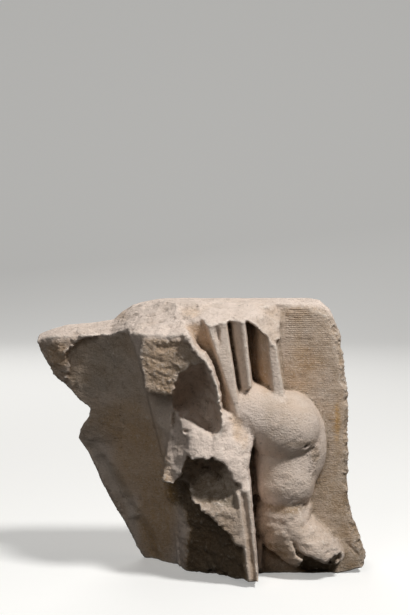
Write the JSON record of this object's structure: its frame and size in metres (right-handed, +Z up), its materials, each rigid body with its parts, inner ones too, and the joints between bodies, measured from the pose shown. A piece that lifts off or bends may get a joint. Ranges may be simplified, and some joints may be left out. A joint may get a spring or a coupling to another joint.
{
  "type": "stone corbel",
  "caption": "Broken carved limestone corbel with a bent leg and pleated skirt against a combed slab, cut flat at the wall.",
  "frame": {"origin": "middle of the flat back face that is built into the wall, at half height and on the line between the shaft and its hollow", "axes": "+X towards the combed slab on the viewer's right, +Y into the wall, +Z up to the top bed"},
  "size_m": [0.35, 0.15, 0.285],
  "materials": {
    "limestone": "matt, tooled and broken limestone with a warm patina"
  },
  "bodies": {
    "root": {"corbel": "limestone"}
  },
  "joints": []
}
